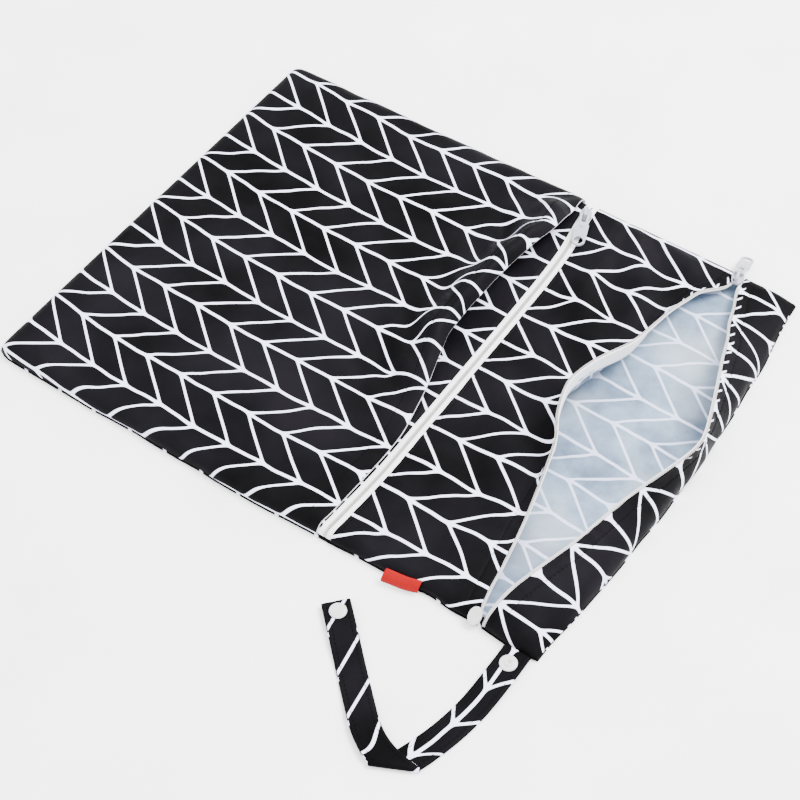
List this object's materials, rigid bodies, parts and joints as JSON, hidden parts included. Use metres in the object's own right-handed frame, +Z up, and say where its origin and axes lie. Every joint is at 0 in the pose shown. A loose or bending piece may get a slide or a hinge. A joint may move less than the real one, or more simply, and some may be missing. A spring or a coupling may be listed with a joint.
{
  "type": "cloth diaper wet bag",
  "caption": "Flat fabric wet bag lying open, with a zipped wet pocket, a zipped inner pocket, an open slip pocket and a snap strap.",
  "frame": {"origin": "on the surface that the bag lies on, under the middle of its body", "axes": "+Z up from the surface, +X across the bag towards the strap and tag, +Y along the bag towards its open zipper"},
  "size_m": [0.4246, 0.4009, 0.0336],
  "materials": {
    "printed_fabric": "black satin polyester with a white line print, lined with coated cloth",
    "zipper_tape": "woven off-white zipper tape",
    "zipper_coil": "moulded off-white nylon coil",
    "zipper_metal": "off-white enamelled zinc",
    "snap_plastic": "moulded white resin",
    "red_tag": "plain red woven label, bare"
  },
  "bodies": {
    "bag": {"back_panel": "printed_fabric", "inner_panel": "printed_fabric", "front_panel": "printed_fabric", "middle_strip": "printed_fabric", "top_band": "printed_fabric", "strap": "printed_fabric", "lower_tape_left": "zipper_tape", "lower_tape_right": "zipper_tape", "lower_coil": "zipper_coil", "lower_slider": "zipper_metal", "upper_tape_left": "zipper_tape", "upper_tape_right": "zipper_tape", "upper_coil_left": "zipper_coil", "upper_coil_right": "zipper_coil", "upper_slider": "zipper_metal", "upper_end_stop": "zipper_coil", "side_tag": "red_tag", "snap_socket": "snap_plastic", "snap_stud": "snap_plastic"},
    "lower_pull": {"lower_pull": "zipper_metal"},
    "upper_pull": {"upper_pull": "zipper_metal"}
  },
  "joints": [
    {"name": "lower_pull_hinge", "type": "hinge", "parent": "bag", "child": "lower_pull", "pos_m": [-0.13473, 0.05095, 0.0122], "axis": [0.3256, -0.9455, 0], "range_deg": [0, 165]},
    {"name": "upper_pull_hinge", "type": "hinge", "parent": "bag", "child": "upper_pull", "pos_m": [-0.14486, 0.15658, 0.0122], "axis": [-0.1736, 0.9848, 0], "range_deg": [0, 180]}
  ]
}
